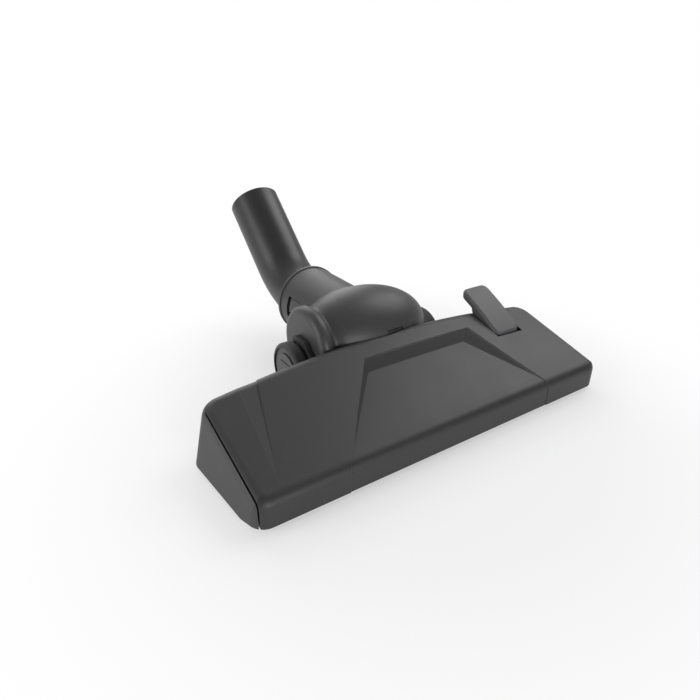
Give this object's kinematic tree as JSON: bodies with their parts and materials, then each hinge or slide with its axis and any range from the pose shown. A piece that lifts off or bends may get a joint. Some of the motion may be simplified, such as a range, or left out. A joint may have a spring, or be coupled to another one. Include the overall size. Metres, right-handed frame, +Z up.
{
  "type": "vacuum floor brush head",
  "caption": "Low vacuum floor head with a foot pedal for its brush, rear wheels, a tilting neck and a bent tube that swivels.",
  "frame": {"origin": "middle of the sole's resting face, on the floor", "axes": "+Z up, front of the head towards -Y, wand tube towards +Y, pedal on the +X side"},
  "size_m": [0.2806, 0.2904, 0.1135],
  "materials": {
    "cover_plastic": "satin moulded dark grey plastic",
    "cap_plastic": "matte moulded grey plastic",
    "neck_plastic": "satin moulded dark grey plastic",
    "tube_plastic": "satin extruded dark grey plastic",
    "pedal_plastic": "matte moulded grey plastic",
    "base_plastic": "plain moulded black plastic",
    "wheel_plastic": "moulded dark grey plastic",
    "tyre_rubber": "soft dark grey rubber",
    "seal_felt": "black felt",
    "lint_velvet": "red velvet pile",
    "bristle": "black nylon bristle",
    "sole_steel": "brushed steel sheet",
    "pin_steel": "drawn steel",
    "spring_steel": "spring wire"
  },
  "bodies": {
    "head": {"top_cover": "cover_plastic", "left_end_cap": "cap_plastic", "right_end_cap": "cap_plastic", "lower_housing": "base_plastic", "sole_plate": "sole_steel", "front_lint_strip": "lint_velvet", "rear_lint_strip": "lint_velvet", "throat_seal": "seal_felt", "cover_screws": "pin_steel", "sole_screws": "pin_steel", "pedal_pin": "pin_steel", "left_pivot_pin": "pin_steel", "right_pivot_pin": "pin_steel", "left_axle": "pin_steel", "right_axle": "pin_steel", "left_roller_pin": "pin_steel", "right_roller_pin": "pin_steel", "carrier_springs": "spring_steel"},
    "brush": {"brush_carrier": "base_plastic", "front_bristles": "bristle", "rear_bristles": "bristle"},
    "pedal_lever": {"pedal": "pedal_plastic"},
    "neck": {"neck_shell": "neck_plastic", "neck_liner": "base_plastic", "swivel_retainer": "neck_plastic", "swivel_seal": "seal_felt"},
    "tube": {"wand_tube": "tube_plastic"},
    "left_wheel_body": {"left_wheel": "wheel_plastic", "left_tyre": "tyre_rubber", "left_wheel_cap": "wheel_plastic"},
    "left_roller_body": {"left_roller": "wheel_plastic"},
    "right_wheel_body": {"right_wheel": "wheel_plastic", "right_tyre": "tyre_rubber", "right_wheel_cap": "wheel_plastic"},
    "right_roller_body": {"right_roller": "wheel_plastic"}
  },
  "joints": [
    {"name": "neck_tilt", "type": "hinge", "parent": "head", "child": "neck", "pos_m": [0, 0.066, 0.037], "axis": [1, 0, 0], "range_deg": [0, 60]},
    {"name": "tube_swivel", "type": "hinge", "parent": "neck", "child": "tube", "pos_m": [0, 0.141, 0.037], "axis": [0, 1, 0], "continuous": true},
    {"name": "pedal_rock", "type": "hinge", "parent": "head", "child": "pedal_lever", "pos_m": [0.092, 0.018, 0.031], "axis": [-1, 0, 0], "range_deg": [0, 20]},
    {"name": "brush_drop", "type": "slide", "parent": "head", "child": "brush", "axis": [0, 0, -1], "range_m": [0, 0.0053], "deforming": ["carrier_springs"]},
    {"name": "left_wheel_spin", "type": "hinge", "parent": "head", "child": "left_wheel_body", "pos_m": [-0.056, 0.066, 0.021], "axis": [1, 0, 0], "continuous": true},
    {"name": "left_roller_spin", "type": "hinge", "parent": "head", "child": "left_roller_body", "pos_m": [-0.114, -0.008, 0.0053], "axis": [1, 0, 0], "continuous": true},
    {"name": "right_wheel_spin", "type": "hinge", "parent": "head", "child": "right_wheel_body", "pos_m": [0.056, 0.066, 0.021], "axis": [1, 0, 0], "continuous": true},
    {"name": "right_roller_spin", "type": "hinge", "parent": "head", "child": "right_roller_body", "pos_m": [0.114, -0.008, 0.0053], "axis": [1, 0, 0], "continuous": true}
  ],
  "couplings": [
    {"joint": "brush_drop", "follows": "pedal_rock", "m_per_rad": 0.014897}
  ]
}
